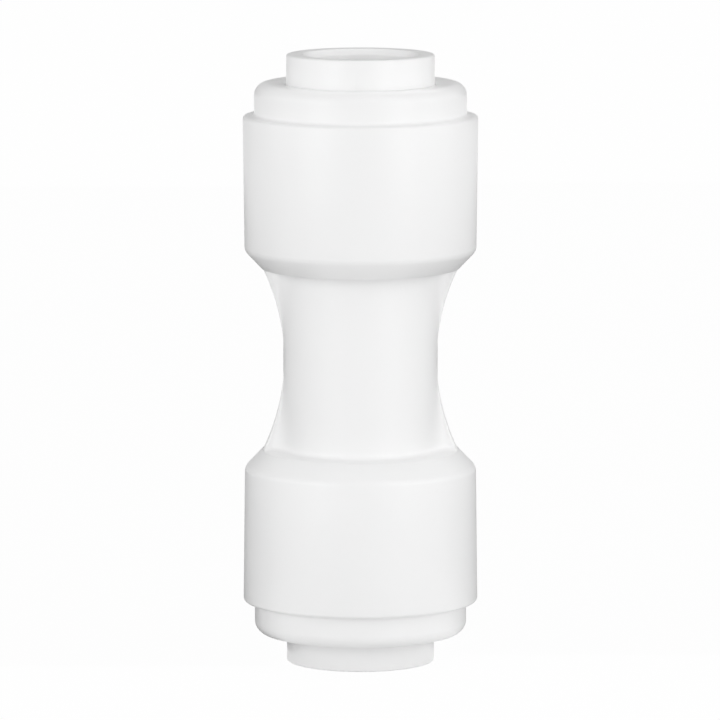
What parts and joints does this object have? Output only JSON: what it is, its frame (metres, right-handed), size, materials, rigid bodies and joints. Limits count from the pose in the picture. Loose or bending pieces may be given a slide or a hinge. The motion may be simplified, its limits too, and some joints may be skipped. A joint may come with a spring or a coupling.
{
  "type": "tube connector",
  "caption": "Straight push-fit connector for plastic water tube: a finned plastic body with a release collet, steel grip teeth and a rubber seal in each end.",
  "frame": {"origin": "middle of the end face of the lower collet, on which the fitting stands", "axes": "+Z along the tube's axis towards the upper port, +X across the two fins of the waist, +Y completing a right-handed frame"},
  "size_m": [0.0146, 0.0146, 0.038],
  "materials": {
    "white_acetal": "satin",
    "black_rubber": "satin",
    "natural_nylon": "satin",
    "stainless_steel": "satin"
  },
  "bodies": {
    "housing": {"housing": "white_acetal", "cap_top": "white_acetal", "cap_bottom": "white_acetal", "seal_ring_top": "black_rubber", "seal_ring_bottom": "black_rubber", "seal_washer_top": "natural_nylon", "seal_washer_bottom": "natural_nylon"},
    "collet_top": {"collet_top": "white_acetal", "grip_tooth_top_1": "stainless_steel", "grip_tooth_top_2": "stainless_steel", "grip_tooth_top_3": "stainless_steel", "grip_tooth_top_4": "stainless_steel", "grip_tooth_top_5": "stainless_steel", "grip_tooth_top_6": "stainless_steel"},
    "collet_bottom": {"collet_bottom": "white_acetal", "grip_tooth_bottom_1": "stainless_steel", "grip_tooth_bottom_2": "stainless_steel", "grip_tooth_bottom_3": "stainless_steel", "grip_tooth_bottom_4": "stainless_steel", "grip_tooth_bottom_5": "stainless_steel", "grip_tooth_bottom_6": "stainless_steel"}
  },
  "joints": [
    {"name": "collet_top_slide", "type": "slide", "parent": "housing", "child": "collet_top", "axis": [0, 0, -1], "range_m": [0, 0.0014]},
    {"name": "collet_bottom_slide", "type": "slide", "parent": "housing", "child": "collet_bottom", "axis": [0, 0, 1], "range_m": [0, 0.0014]}
  ]
}
